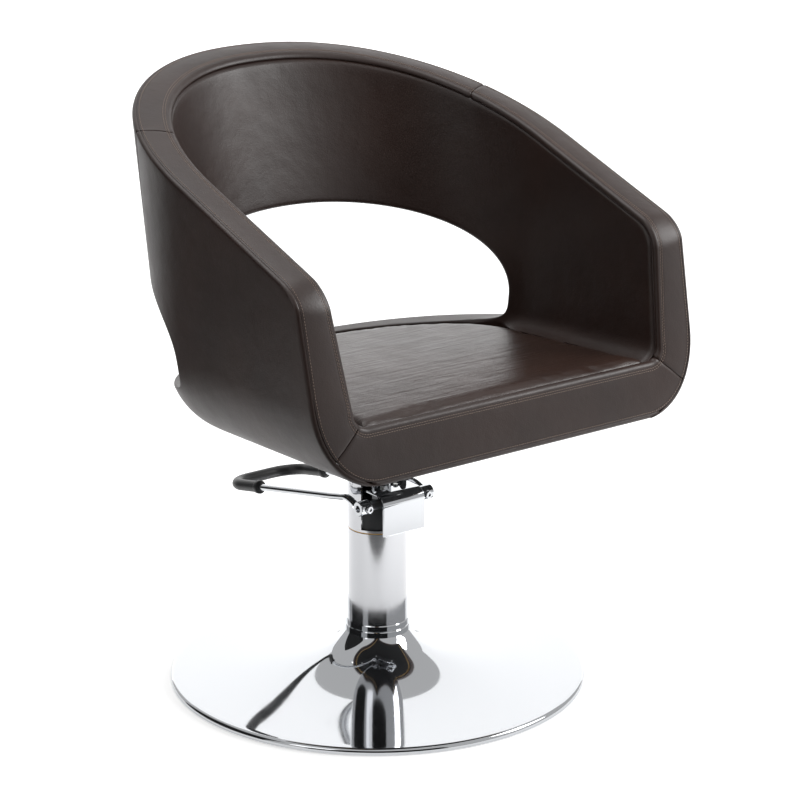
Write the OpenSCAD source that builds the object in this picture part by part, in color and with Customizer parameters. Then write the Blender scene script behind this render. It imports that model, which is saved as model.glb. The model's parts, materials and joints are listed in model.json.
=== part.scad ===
// Hydraulic styling chair: a padded tub seat on a pump column and a round base.
// +Z is up, the floor is z = 0 and the column's axis is x = y = 0.
// The sitter faces -Y and the pump lever points to +Y.

/* [Base] */
// Radius of the round base
base_r = 300; // [260:1:330]
// Radius of the base cover where it meets the column
cover_neck_r = 46; // [45:0.5:50]
// Height of the base cover where it meets the column
cover_neck_z = 67.5; // [60:0.5:75]
// Thickness of the rubber ring under the base
gasket_t = 3; // [2:0.5:4]
// Thickness of the steel base plate
base_plate_t = 5; // [4:0.5:5.5]

/* [Column] */
// Radius of the chrome column
column_r = 42.2; // [41:0.1:43]
// Wall thickness of the column tube
column_t = 3; // [2:0.5:4]
// Height of the joint between the fixed tube and the turning head
head_z = 223; // [215:1:230]
// Radius of the lifting ram
ram_r = 20; // [17:0.5:21]
// Height that the seat can be pumped up
lift = 120; // [80:1:122]

/* [Lever] */
// Height of the lever's pivot
pivot_z = 271; // [268:0.5:274]
// Distance of the lever's pivot in front of the column's axis
pivot_y = 39; // [38:0.5:41]
// Half the distance between the lever's two arms
arm_x = 60; // [56:0.5:66]
// Distance of the lever's cross bar behind the column's axis
lever_reach = 286; // [250:1:300]
// Radius of the lever's bar
lever_r = 5; // [4:0.5:6]

/* [Shell] */
// Height of the seat at its front seam
seat_front_z = 486; // [470:1:500]
// Drop of the seat from its front seam to its back
seat_drop = 18; // [0:1:30]
// Half width of the seat between the arms
seat_half_w = 262; // [240:1:270]
// Depth of the seat behind the shell's centre line
seat_back_d = 182; // [170:1:200]
// Half width between the arms at the rim
rim_half_w = 280; // [270:1:290]
// Depth of the rim behind the shell's centre line
rim_back_d = 283; // [270:1:300]
// Height of the arms at the front
arm_z = 663; // [640:1:680]
// Rise of the rim for each millimetre towards the back
rim_slope = 0.387; // [0.3:0.001:0.45]
// Thickness of the padded wall at the rim
wall_t = 53; // [45:1:56]
// Height of the shell's underside
shell_z = 411; // [408:1:420]

/* [Hidden] */

$fn = 96;
gap = 0.5;          // air left between padded layers
run = 0.05;         // radial running clearance

// Heights on the base
plate_z = gasket_t + base_plate_t;
flange_t = 8;
flange_z = plate_z + flange_t;
bolt_ring_r = 52;

// Column parts
tube_in_r = column_r - column_t;
cylinder_r = 30;
bore_r = 26;
cylinder_top = 202;
gland_t = 14;
piston_z = 50;
washer_t = 1.4;
sleeve_z = head_z + washer_t + 0.1;
sleeve_top = 296;
core_top = 262;
block_w = 30;
block_top = 285.4;
slot_w = 17;
window_z = 228;
plunger_y = pivot_y - 10;
shaft_r = 7;
bush_r = 9;
shaft_half = 58;
hub_r = 10.5;
hub_in = 46;
hub_out = 65;
screw_x = 53;

// Seat mounting
ram_top = 398;
seat_plate_z = 405;
seat_plate_t = 5.6;
seat_bolt_x = 75;
board_z = shell_z + 3;
board_t = 14;
foam_z = board_z + board_t + 1.8;

// Shell: the wall's centre line, its front plane and its rings
centre_y = -20;
lean = 0.2;                 // how far the front leans back for each millimetre up
band_t = 10;                // thickness of the bands round the edge
belly_z = 525;              // height of the outside's widest place, where it turns under
belly_half_w = 329;
belly_back_d = 255;
belly_bulge = 2.05;         // how full the turn is: 2 is an ellipse
tail_back_d = 214;          // depth of the tail below the opening
mitre_f = 0.45;             // share of the turn where the front's corner seam ends
under_half_w = 232;
under_back_d = 160;
inner_half_w = 215;         // the frame's foot, inside the lining
inner_back_d = 140;
inner_foot_z = shell_z + 12;
seam_y = 112;               // where the arm's rim band meets the back's
lining_s = 0.30;            // share of the wall's thickness each layer ends at
frame_s = 0.60;

// Opening through the back: half angle, widest height, and reach up and down. It
// widens towards the outside by a flare for each millimetre of radius.
hole_half = 81;
hole_z = 515;
hole_top = 652;
hole_bottom = 468;
hole_r = 268;               // radius at which these sizes hold
flare_angle = 4 / 70;
flare_z = -15 / 70;

arc_steps = 34;
side_steps = 4;

function front_y(z) = -296 - (seat_front_z - z) * lean;
function lerp(a, b, t) = a + (b - a) * t;
function power(v, e) = sign(v) * pow(abs(v), e);

// A point on a U-shaped plan. u from 0 to 180 runs round the back; below 0 and
// above 180 it runs forward along the sides to the front.
function plan(u, a, b, n, yf) =
    u < 0 ? [a, lerp(centre_y, yf, -u)] :
    u > 180 ? [-a, lerp(centre_y, yf, u - 180)] :
    [a * power(cos(u), 2 / n), centre_y + b * power(sin(u), 2 / n)];

function seat_z(y) = seat_front_z - seat_drop * (y - front_y(seat_front_z)) / 458;
function rim_z(y) = arm_z + rim_slope * (y + 261);

function seat_ring(u) =
    let (p = plan(u, seat_half_w, seat_back_d, 2.05, front_y(seat_front_z) + band_t))
    [p[0], p[1], seat_z(p[1])];

function rim_ring(u) =
    let (p = plan(u, rim_half_w, rim_back_d, 2.2, front_y(arm_z) + band_t))
    [p[0], p[1], rim_z(p[1])];

// Outward direction of the rim's plan
function rim_out(u) =
    u <= 0 ? [1, 0] :
    u >= 180 ? [-1, 0] :
    let (gx = power(power(cos(u), 2 / 2.2), 1.2) / rim_half_w)
    let (gy = power(power(sin(u), 2 / 2.2), 1.2) / rim_back_d)
    [gx, gy] / norm([gx, gy]);

function rim_edge(u) =
    let (p = rim_ring(u))
    let (d = rim_out(u))
    [p[0] + wall_t * d[0], p[1] + wall_t * d[1], p[2] + rim_slope * wall_t * d[1] * 0.5];

// The outside's ring from the belly (f = 0) round to the underside (f = 1)
function turn_out(f) = power(cos(90 * f), 2 / belly_bulge);
function turn_z(f) = belly_z - (belly_z - shell_z) * power(sin(90 * f), 2 / belly_bulge);
function belly_ring(u, f) =
    let (a = lerp(under_half_w, belly_half_w, turn_out(f)))
    let (b = lerp(under_back_d, tail_back_d, turn_out(f))
        + (belly_back_d - tail_back_d) * pow(max(0, 1 - 3 * f), 2))
    let (z = turn_z(f))
    let (p = plan(u, a, b, 2.2, front_y(z) + band_t))
    [p[0], p[1], z];

function foot_ring(u, f) =
    let (p = plan(u, inner_half_w, inner_back_d, 2.1, front_y(inner_foot_z) + band_t))
    lerp(seat_ring(u), [p[0], p[1], inner_foot_z], f);

// A point in the wall: s runs from the inside (0) to the outside (1), v from the
// underside (-1) past the seat line (0) to the rim (1).
function wall_point(u, s, v) =
    let (inside = v < 0 ? foot_ring(u, -v) : lerp(seat_ring(u), rim_ring(u), v))
    let (outside = v < 0 ? belly_ring(u, -v) : lerp(belly_ring(u, 0), rim_edge(u), v))
    lerp(inside, outside, s);

// The value of v that lies a given drop below the rim
function below_rim(u, drop) = 1 - drop / (rim_ring(u)[2] - seat_ring(u)[2]);

function steps(from, to, n) = [for (i = [0:n]) lerp(from, to, i / n)];
right_side = steps(-1, 0, side_steps);
left_side = steps(180, 181, side_steps);
round_back = steps(0, 180, arc_steps);
all_round = concat(
    [for (i = [0:side_steps - 1]) right_side[i]],
    round_back,
    [for (i = [1:side_steps]) left_side[i]]
);

// Angle at which the rim's outer edge passes the cross seam
seam_u = asin(pow((seam_y - centre_y) / rim_back_d, 2.2 / 2));

// A closed slab of the wall between two depths, along the given values of u
module wall_slab(us, s0, s1, low, drop, rows) {
    nu = len(us);
    nv = rows + 1;
    points = [
        for (s = [s0, s1]) for (u = us) for (k = [0:rows])
            wall_point(u, s, lerp(low, below_rim(u, drop), k / rows))
    ];
    function at(side, i, k) = side * nu * nv + i * nv + k;
    faces = concat(
        [for (i = [0:nu - 2]) for (k = [0:rows - 1])
            [at(0, i, k), at(0, i + 1, k), at(0, i + 1, k + 1), at(0, i, k + 1)]],
        [for (i = [0:nu - 2]) for (k = [0:rows - 1])
            [at(1, i, k), at(1, i, k + 1), at(1, i + 1, k + 1), at(1, i + 1, k)]],
        [for (i = [0:nu - 2]) [at(0, i, 0), at(1, i, 0), at(1, i + 1, 0), at(0, i + 1, 0)]],
        [for (i = [0:nu - 2])
            [at(0, i, rows), at(0, i + 1, rows), at(1, i + 1, rows), at(1, i, rows)]],
        [for (k = [0:rows - 1]) [at(0, 0, k), at(0, 0, k + 1), at(1, 0, k + 1), at(1, 0, k)]],
        [for (k = [0:rows - 1])
            [at(0, nu - 1, k), at(1, nu - 1, k), at(1, nu - 1, k + 1), at(0, nu - 1, k + 1)]]
    );
    polyhedron(points, faces, convexity = 8);
}

// The rim band: a thin strip on top of the wall's layers
module rim_strip(us) {
    nu = len(us);
    points = [
        for (u = us) for (q = [[0, 1], [1, 1], [1, 0], [0, 0]])
            wall_point(u, q[0], below_rim(u, (1 - q[1]) * (band_t - gap)))
    ];
    faces = concat(
        [[0, 1, 2, 3]],
        [for (i = [0:nu - 2]) for (k = [0:3])
            [i * 4 + k, (i + 1) * 4 + k, (i + 1) * 4 + (k + 1) % 4, i * 4 + (k + 1) % 4]],
        [[for (k = [3:-1:0]) (nu - 1) * 4 + k]]
    );
    polyhedron(points, faces, convexity = 8);
}

// A flat prism whose outline leans with the front plane, from the wall to the front
module front_slab(outline) {
    n = len(outline);
    points = concat(
        [for (p = outline) [p[0], front_y(p[1]), p[1]]],
        [for (p = outline) [p[0], front_y(p[1]) + band_t - 2, p[1]]]
    );
    faces = concat(
        [[for (i = [0:n - 1]) i]],
        [[for (i = [n - 1:-1:0]) n + i]],
        [for (i = [0:n - 1]) [i, n + i, n + (i + 1) % n, (i + 1) % n]]
    );
    polyhedron(points, faces, convexity = 4);
}

// The opening through the back, cut outward from the shell's centre line, and grown a
// little for the layers that lie under the covers
module back_hole(grow = 0) {
    n = 72;
    near = 165;
    far = 400;
    function outline(r) =
        let (half = hole_half + flare_angle * (r - hole_r) + grow * 180 / PI / hole_r)
        let (mid = hole_z + flare_z * (r - hole_r))
        let (top = hole_top + grow)
        let (bottom = hole_bottom - grow)
        [for (i = [0:n - 1])
            let (t = 360 * i / n)
            let (e = sin(t) >= 0 ? 2.1 : 5)
            let (h = sin(t) >= 0 ? top - mid : mid - bottom)
            let (turn = half * power(cos(t), 2 / e))
            [r * sin(turn), centre_y + r * cos(turn), mid + h * power(sin(t), 2 / e)]];
    points = concat(
        outline(near),
        outline(far),
        [[0, centre_y + near / 2, hole_z], [0, centre_y + 2 * far, hole_z]]
    );
    faces = concat(
        [for (i = [0:n - 1]) [i, (i + 1) % n, n + (i + 1) % n, n + i]],
        [for (i = [0:n - 1]) [(i + 1) % n, i, 2 * n]],
        [for (i = [0:n - 1]) [n + i, n + (i + 1) % n, 2 * n + 1]]
    );
    polyhedron(points, faces, convexity = 8);
}

// A tube of the given radii swept along a path that never runs straight up
module swept(path, outer, inner) {
    m = 12;
    n = len(path);
    function ring(i, r) =
        let (t = path[min(i + 1, n - 1)] - path[max(i - 1, 0)])
        let (a = cross(t, [0, 0, 1]) / norm(cross(t, [0, 0, 1])))
        let (b = cross(a, t) / norm(cross(a, t)))
        [for (k = [0:m - 1]) path[i] + r * (a * cos(360 * k / m) + b * sin(360 * k / m))];
    hollow = inner > 0;
    points = concat(
        [for (i = [0:n - 1]) each ring(i, outer[i])],
        hollow ? [for (i = [0:n - 1]) each ring(i, inner)] : []
    );
    o = n * m;
    side = [for (i = [0:n - 2]) for (k = [0:m - 1])
        [i * m + k, i * m + (k + 1) % m, (i + 1) * m + (k + 1) % m, (i + 1) * m + k]];
    bore = hollow ? [for (f = side) [f[3] + o, f[2] + o, f[1] + o, f[0] + o]] : [];
    ends = hollow ?
        concat(
            [for (k = [0:m - 1]) [k, o + k, o + (k + 1) % m, (k + 1) % m]],
            [for (k = [0:m - 1]) [o + o - m + k, o - m + k, o - m + (k + 1) % m,
                o + o - m + (k + 1) % m]]
        ) :
        [[for (k = [m - 1:-1:0]) k], [for (k = [0:m - 1]) o - m + k]];
    polyhedron(points, concat(side, bore, ends), convexity = 6);
}

module ring(outer, inner, z0, z1) {
    translate([0, 0, z0])
        difference() {
            cylinder(r = outer, h = z1 - z0);
            translate([0, 0, -1]) cylinder(r = inner, h = z1 - z0 + 2);
        }
}

module rod_x(r, x0, x1) {
    translate([x0, -pivot_y, pivot_z]) rotate([0, 90, 0]) cylinder(r = r, h = x1 - x0);
}

module at_seat_bolts() {
    for (x = [-seat_bolt_x, seat_bolt_x]) for (y = [-seat_bolt_x, seat_bolt_x])
        translate([x, y, 0]) children();
}

module at_flange_bolts() {
    for (a = [45, 135, 225, 315]) rotate([0, 0, a]) translate([bolt_ring_r, 0, 0]) children();
}

// ---- Base ----

module base_gasket() {
    color("#1c1c1e") ring(base_r - 4, base_r - 24, 0, gasket_t);
}

module base_plate() {
    color("#55585c")
        difference() {
            translate([0, 0, gasket_t]) cylinder(r = base_r - 16, h = base_plate_t);
            at_flange_bolts() cylinder(r = 5.02, h = plate_z + 1);
        }
}

// The spun cover's height falls as one over the radius, out to a rolled edge
cover_k = (cover_neck_z - 9.5) / (1 / cover_neck_r - 1 / base_r);
cover_c = 9.5 - cover_k / base_r;
function cover_z(r) = cover_k / r + cover_c;

module base_cover() {
    edge = base_r - 6;
    n = 22;
    top = [for (i = [0:n]) let (r = cover_neck_r * pow(edge / cover_neck_r, i / n))
        [r, cover_z(r)]];
    roll = [for (a = [75:-15:0]) [edge + 6 * cos(a), cover_z(edge) - 6 + 6 * sin(a)]];
    low = [for (p = top) [p[0], cover_z(p[0] + 1.2) - 1.4]];
    color("#d9dcdf")
        rotate_extrude()
            polygon(concat(top, roll, [[base_r, 1], [base_r - 1.6, 1], [base_r - 2.2, 5]],
                [for (i = [n:-1:0]) low[i]]));
}

module pump_flange() {
    color("#3c3e42")
        difference() {
            translate([0, 0, plate_z]) cylinder(r = 64, h = flange_t);
            at_flange_bolts() cylinder(r = 5.2, h = flange_z + 1);
        }
}

module flange_bolts() {
    color("#8d9094")
        at_flange_bolts() {
            translate([0, 0, gasket_t + 0.5]) cylinder(r = 5, h = flange_z - gasket_t - 0.5);
            translate([0, 0, flange_z]) cylinder(r = 9, h = 6.4, $fn = 6);
        }
}

module cylinder_plug() {
    color("#707377") translate([0, 0, flange_z]) cylinder(r = bore_r, h = 9);
}

module pump_cylinder() {
    color("#7c8085") ring(cylinder_r, bore_r, flange_z, cylinder_top);
}

module cylinder_gland() {
    color("#b08d4e") ring(bore_r, ram_r + run, cylinder_top - gland_t, cylinder_top);
}

module lower_tube() {
    color("#d4d7da") ring(column_r, tube_in_r, flange_z, head_z);
}

module column_collar() {
    color("#dfe2e4")
        rotate_extrude()
            polygon([
                [column_r, cover_neck_z + 0.1], [46.6, cover_neck_z + 0.1], [46.6, 75.2],
                [45.8, 76], [44.8, 76], [44.8, 84.2], [44, 85], [column_r, 85]
            ]);
}

module swivel_washer() {
    color("#a8844a") ring(column_r - 0.4, tube_in_r + 0.1, head_z, head_z + washer_t);
}

// ---- Turning head ----

module pump_head() {
    color("#26272a")
        difference() {
            union() {
                translate([0, 0, cylinder_top + 2])
                    cylinder(r = tube_in_r - run, h = core_top - cylinder_top - 2);
                translate([-block_w / 2, 0, 0]) rotate([90, 0, 90]) linear_extrude(block_w)
                    polygon(concat(
                        [[-58, window_z]],
                        [for (a = [180:-15:90]) [-46 + 12 * cos(a), block_top - 13.5 + 12 * sin(a)]],
                        [[-46, block_top], [-22, block_top], [-22, window_z]]
                    ));
            }
            translate([0, 0, cylinder_top]) cylinder(r = ram_r + run, h = 100);
            translate([-slot_w / 2, -53, 246]) cube([slot_w, 31, 60]);
            rod_x(bush_r, -block_w, block_w);
            translate([0, -plunger_y, 226]) cylinder(r = 4 + run, h = 40);
            for (x = [-12, 12]) translate([x, -27, block_top - 14]) cylinder(r = 1.8, h = 20);
        }
}

module head_sleeve() {
    color("#d6d9dc")
        difference() {
            ring(column_r, tube_in_r, sleeve_z, sleeve_top);
            translate([-60, -60, window_z]) cube([120, 46, 90]);
        }
}

module cover_plate() {
    t = 2.5;
    r = 16;
    y0 = -62;
    z1 = block_top + t;
    profile = concat(
        [[y0, 229]],
        [for (a = [180:-10:90]) [y0 + r + r * cos(a), z1 - r + r * sin(a)]],
        [[-22, z1], [-22, z1 - t]],
        [for (a = [90:10:180]) [y0 + r + (r - t) * cos(a), z1 - r + (r - t) * sin(a)]],
        [[y0 + t, 229]]
    );
    color("#d3d6da")
        difference() {
            translate([-37, 0, 0]) rotate([90, 0, 90]) linear_extrude(74) polygon(profile);
            for (x = [-12, 12]) translate([x, -27, 270]) cylinder(r = 2, h = 30);
        }
}

module cover_screws() {
    color("#9a9da1")
        for (x = [-12, 12]) translate([x, -27, 0]) {
            translate([0, 0, block_top - 12]) cylinder(r = 1.75, h = 14.5);
            translate([0, 0, block_top + 2.5]) cylinder(r = 3.4, h = 2);
        }
}

module stop_lug() {
    color("#2b2c2f")
        translate([0, -28, 0]) rotate([90, 0, 0])
            linear_extrude(5)
                polygon([[17.5, block_top + 2.5], [27, block_top + 2.5], [27, 299], [23.5, 299]]);
}

module shaft_bushes() {
    color("#b08d4e")
        for (x = [-block_w / 2, slot_w / 2 + 0.5]) difference() {
            rod_x(bush_r, x, x + block_w / 2 - slot_w / 2 - 0.5);
            rod_x(shaft_r + run, x - 1, x + 10);
        }
}

// ---- Lever ----

module pivot_shaft() {
    color("#4a4c50") rod_x(shaft_r, -shaft_half, shaft_half);
}

module pump_cam() {
    color("#5a5d61")
        difference() {
            union() {
                rod_x(10.5, -7.8, 7.8);
                translate([-7.8, -pivot_y, pivot_z - 8]) cube([15.6, 13, 14]);
            }
            rod_x(shaft_r + 0.01, -9, 9);
        }
}

module lever_spring() {
    turns = 5;
    pitch = 2.6;
    color("#8f9296")
        for (i = [0:turns - 1])
            translate([18 + i * pitch, -pivot_y, pivot_z]) rotate([0, 90, 0])
                rotate_extrude($fn = 48) translate([shaft_r + 1.3, 0]) circle(r = 1.1, $fn = 16);
}

module lever_hub(side) {
    color("#cfd2d6")
        difference() {
            rod_x(hub_r, side > 0 ? hub_in : -hub_out, side > 0 ? hub_out : -hub_in);
            rod_x(shaft_r + 0.01, side > 0 ? hub_in - 1 : -shaft_half - 0.2,
                side > 0 ? shaft_half + 0.2 : -hub_in + 1);
            rod_x(4.5, -hub_out - 1, hub_out + 1);
            translate([side * screw_x, -pivot_y, pivot_z]) rotate([90, 0, 0])
                cylinder(r = 3.02, h = 30);
        }
}

module lever_hub_left() {
    lever_hub(-1);
}

module lever_hub_right() {
    lever_hub(1);
}

module hub_screws() {
    color("#e4e6e8")
        for (x = [-screw_x, screw_x]) translate([x, -pivot_y - shaft_r - 0.1, pivot_z])
            rotate([90, 0, 0]) {
                cylinder(r = 3, h = 5);
                translate([0, 0, 3.9]) cylinder(r = 6.2, h = 4);
            }
}

// The lever's path: from the hub up over a bend, then down a straight slope to a
// rounded corner and across to the middle of the cross bar
bend_y = -4;
bend_z = 278.5;
drop = 0.187;
corner = 38;
function slope_z(y) = bend_z - drop * (y - bend_y);
function on_slope(x, y) = [x, y, slope_z(y)];
half_path = concat(
    [[arm_x, -28.2, 272.6], [arm_x, -22, 275.6], [arm_x, -14, 278.2], [arm_x, bend_y, 279.2],
     [arm_x, 7, 276.9]],
    [for (y = [50, 100, 150, 195]) on_slope(arm_x, y)],
    [for (a = [0:11.25:90])
        on_slope(arm_x - corner + corner * cos(a), lever_reach - corner + corner * sin(a))]
);
lever_path = concat(
    half_path,
    [for (i = [len(half_path) - 1:-1:0])
        [-half_path[i][0], half_path[i][1], half_path[i][2]]]
);

module lever_bar() {
    color("#d2d5d9") swept(lever_path, [for (p = lever_path) lever_r], 0);
}

// The grip covers the cross bar, both corners and the ends of the arms, with a
// thicker cuff at each end
module lever_grip() {
    cuff = [on_slope(arm_x, 200), on_slope(arm_x, 207), on_slope(arm_x, 210)];
    half = concat(cuff, [for (i = [9:len(half_path) - 1]) half_path[i]]);
    path = concat(half, [for (i = [len(half) - 1:-1:0]) [-half[i][0], half[i][1], half[i][2]]]);
    n = len(path);
    radii = [for (i = [0:n - 1]) min(i, n - 1 - i) < 2 ? 10 : 8.4];
    color("#1d1d1f") swept(path, radii, lever_r + 0.15);
}

module pump_plunger() {
    color("#9a9da1") translate([0, -plunger_y, 232]) cylinder(r = 4, h = pivot_z - 9 - 232);
}

// ---- Ram and seat mounting ----

module ram() {
    color("#d8dbde") translate([0, 0, piston_z]) cylinder(r = ram_r, h = ram_top - piston_z);
}

module piston() {
    color("#85888c") ring(bore_r - run, ram_r, piston_z, piston_z + 12);
}

module piston_seal() {
    color("#1c1c1e") ring(bore_r - run, ram_r, piston_z + 12, piston_z + 16);
}

module piston_nut() {
    color("#85888c") translate([0, 0, piston_z - 8]) cylinder(r = 18, h = 8, $fn = 6);
}

module seat_plate() {
    half = 95;
    color("#1f2023")
        difference() {
            union() {
                translate([-half, -half, seat_plate_z]) cube([2 * half, 2 * half, seat_plate_t]);
                translate([0, 0, 352]) cylinder(r = 28, h = seat_plate_z - 352);
                for (a = [45:90:315]) rotate([0, 0, a]) translate([0, 2.5, 0]) rotate([90, 0, 0])
                    linear_extrude(5)
                        polygon([[26, 362], [26, seat_plate_z + 1], [84, seat_plate_z + 1], [84, 400]]);
            }
            translate([0, 0, 340]) cylinder(r = ram_r + 0.02, h = ram_top - 340 + 0.1);
            at_seat_bolts() translate([0, 0, 395]) cylinder(r = 4.2, h = 30);
        }
}

module seat_bolts() {
    color("#9fa2a6")
        at_seat_bolts() {
            translate([0, 0, seat_plate_z]) cylinder(r = 4, h = board_z + board_t - seat_plate_z);
            translate([0, 0, seat_plate_z - 5.3]) cylinder(r = 7.5, h = 5.3, $fn = 6);
        }
}

module insert_nuts() {
    top = board_z + board_t;
    color("#b9bcbf")
        at_seat_bolts() {
            ring(9, 4.02, top + 0.05, top + 1.4);
            ring(5.2, 4.02, top - 9, top + 0.05);
        }
}

// ---- Padded shell ----

module plan_area(a, b, n, yf) {
    polygon([for (u = all_round) plan(u, a, b, n, yf)]);
}

module seat_board() {
    color("#b98d5a")
        difference() {
            translate([0, 0, board_z])
                linear_extrude(board_t)
                    plan_area(inner_half_w - 4, inner_back_d - 4, 2.1, front_y(board_z) + band_t + 10);
            at_seat_bolts() cylinder(r = 5.25, h = 600);
        }
}

module underside_cover() {
    color("#232325")
        difference() {
            translate([0, 0, shell_z])
                linear_extrude(2)
                    plan_area(under_half_w - 10, under_back_d - 11, 2.2, front_y(shell_z) + band_t + 1);
            at_seat_bolts() cylinder(r = 5.25, h = 600);
        }
}

// A loft between two plans, with a sloping top that follows the seat
module cushion(inset, top_drop, z0) {
    low = [for (u = all_round)
        let (p = plan(u, inner_half_w - inset, inner_back_d - inset, 2.1,
            front_y(z0) + band_t + inset))
        [p[0], p[1], z0]];
    high = [for (u = all_round)
        let (p = plan(u, seat_half_w - inset - 1, seat_back_d - inset - 1, 2.05,
            front_y(seat_front_z) + band_t + inset))
        [p[0], p[1], seat_z(p[1]) - top_drop]];
    n = len(all_round);
    middle = [[0, centre_y - 60, z0], [0, centre_y - 60, seat_z(centre_y - 60) - top_drop]];
    faces = concat(
        [for (i = [0:n - 1]) [i, (i + 1) % n, 2 * n]],
        [for (i = [0:n - 1]) [n + (i + 1) % n, n + i, 2 * n + 1]],
        [for (i = [0:n - 1]) [i, n + i, n + (i + 1) % n, (i + 1) % n]]
    );
    polyhedron(concat(low, high, middle), faces, convexity = 4);
}

module seat_foam() {
    color("#d9cfa8") cushion(4, 3, foam_z);
}

module seat_cover() {
    color("#3a2e2b")
        difference() {
            cushion(1, 0, foam_z);
            translate([0, 0, -0.5]) cushion(3.7, 2.2, foam_z);
        }
}

module shell_frame() {
    color("#c7a676")
        difference() {
            wall_slab(all_round, lining_s + 0.01, frame_s, -1, band_t, 10);
            back_hole(5);
        }
}

module inner_lining() {
    color("#3a2e2b")
        difference() {
            wall_slab(all_round, 0, lining_s, -1, band_t, 10);
            back_hole();
        }
}

module outer_cover(us) {
    color("#3a2e2b")
        difference() {
            wall_slab(us, frame_s + 0.01, 1, -1, band_t, 10);
            back_hole();
        }
}

module outer_cover_right() {
    outer_cover(concat(right_side, steps(0, seam_u - 0.2, 8)));
}

module outer_cover_left() {
    outer_cover(concat(steps(180.2 - seam_u, 180, 8), left_side));
}

// The opening parts the back cover into a panel above it and one below it
module outer_cover_back() {
    intersection() {
        outer_cover(steps(seam_u, 180 - seam_u, 24));
        translate([-400, -400, hole_z]) cube([800, 800, 500]);
    }
}

module outer_cover_tail() {
    intersection() {
        outer_cover(steps(seam_u, 180 - seam_u, 24));
        translate([-400, -400, hole_z - 500]) cube([800, 800, 500]);
    }
}

module rim_border_right() {
    color("#4a3d39") rim_strip(concat(right_side, steps(0, seam_u - 0.2, 8)));
}

module rim_border_left() {
    color("#4a3d39") rim_strip(concat(steps(180.2 - seam_u, 180, 8), left_side));
}

module rim_border_back() {
    color("#4a3d39") rim_strip(steps(seam_u, 180 - seam_u, 24));
}

// The front's outer outline from one share of the turn under to another
function front_turn(from, to) = [for (f = steps(from, to, 6))
    [lerp(under_half_w, belly_half_w, turn_out(f)), turn_z(f)]];

arm_outline = concat(
    [[seat_half_w, seat_front_z], [rim_half_w, arm_z], [rim_half_w + wall_t, arm_z]],
    front_turn(0, mitre_f)
);

module arm_front_right() {
    color("#4a3d39") front_slab(arm_outline);
}

module arm_front_left() {
    n = len(arm_outline);
    color("#4a3d39") front_slab([for (i = [n - 1:-1:0]) [-arm_outline[i][0], arm_outline[i][1]]]);
}

module front_border() {
    half = concat([[seat_half_w, seat_front_z]], front_turn(mitre_f, 1));
    low = [for (p = half) [p[0] - gap, p[1] - gap]];
    color("#4a3d39")
        front_slab(concat(low, [for (i = [len(low) - 1:-1:0]) [-low[i][0], low[i][1]]]));
}

base_gasket();
base_plate();
base_cover();
pump_flange();
flange_bolts();
cylinder_plug();
pump_cylinder();
cylinder_gland();
lower_tube();
column_collar();
swivel_washer();
pump_head();
head_sleeve();
cover_plate();
cover_screws();
stop_lug();
shaft_bushes();
pivot_shaft();
pump_cam();
lever_spring();
lever_hub_left();
lever_hub_right();
hub_screws();
lever_bar();
lever_grip();
pump_plunger();
ram();
piston();
piston_seal();
piston_nut();
seat_plate();
seat_bolts();
insert_nuts();
seat_board();
underside_cover();
seat_foam();
seat_cover();
shell_frame();
inner_lining();
outer_cover_left();
outer_cover_right();
outer_cover_back();
outer_cover_tail();
rim_border_left();
rim_border_right();
rim_border_back();
arm_front_left();
arm_front_right();
front_border();
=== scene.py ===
# %% [markdown]
# # A hydraulic styling chair
# A padded tub seat turns and rises on a pump column over a round chrome base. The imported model
# gives every mechanical part and its place. This lesson dresses it: leather panels sewn round the
# tub, polished chrome, a rubber grip, and soft studio light. Everything is in metres, +Z up.

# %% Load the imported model
import json
import math

import bmesh
import bpy
from mathutils import Matrix, Vector


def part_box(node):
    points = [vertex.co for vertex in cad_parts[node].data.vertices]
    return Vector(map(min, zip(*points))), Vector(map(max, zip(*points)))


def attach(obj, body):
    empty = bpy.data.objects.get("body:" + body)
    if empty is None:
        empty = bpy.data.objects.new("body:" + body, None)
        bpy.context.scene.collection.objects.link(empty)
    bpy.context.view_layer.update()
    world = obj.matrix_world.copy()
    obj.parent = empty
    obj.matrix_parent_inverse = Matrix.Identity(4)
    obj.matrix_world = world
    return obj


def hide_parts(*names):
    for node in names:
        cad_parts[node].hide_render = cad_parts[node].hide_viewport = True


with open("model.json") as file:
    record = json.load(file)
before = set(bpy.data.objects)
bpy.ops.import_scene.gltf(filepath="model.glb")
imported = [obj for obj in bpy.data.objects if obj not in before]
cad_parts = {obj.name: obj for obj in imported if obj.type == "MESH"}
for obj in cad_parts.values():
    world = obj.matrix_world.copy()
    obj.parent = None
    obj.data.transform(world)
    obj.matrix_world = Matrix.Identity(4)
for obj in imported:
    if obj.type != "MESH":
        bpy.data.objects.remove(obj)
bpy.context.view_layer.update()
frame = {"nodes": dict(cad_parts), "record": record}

# %% [markdown]
# ## Camera
# A product photographer stands well back with a long lens, so that the arms and the base keep
# their true proportions. The camera is turned by its heading and then tipped down.

# %% Place the camera
MM = 0.001
CAMERA_AT = Vector((-2.0933, -2.6716, 1.412))
HEADING = -38.63
TIPPED = 16.46
camera = bpy.data.objects.new("camera", bpy.data.cameras.new("camera"))
camera.data.lens = 113.1
camera.data.sensor_width = 36
camera.location = CAMERA_AT
camera.rotation_euler = (math.radians(90 - TIPPED), 0, math.radians(HEADING))
bpy.context.scene.collection.objects.link(camera)
bpy.context.scene.camera = camera
print("lens", camera.data.lens, "mm")

# %% [markdown]
# ## Studio
# A white floor lies under an even sky, with soft boxes on the right, on the left and above.
# Chrome and leather show whatever stands round them, so black cards stand on the near side and a
# white backdrop on the far side: faces turned to the viewer stay dark, grazing ones turn bright.
# The cards are set for this one camera. A camera behind on the left would look at a card's back.

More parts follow.
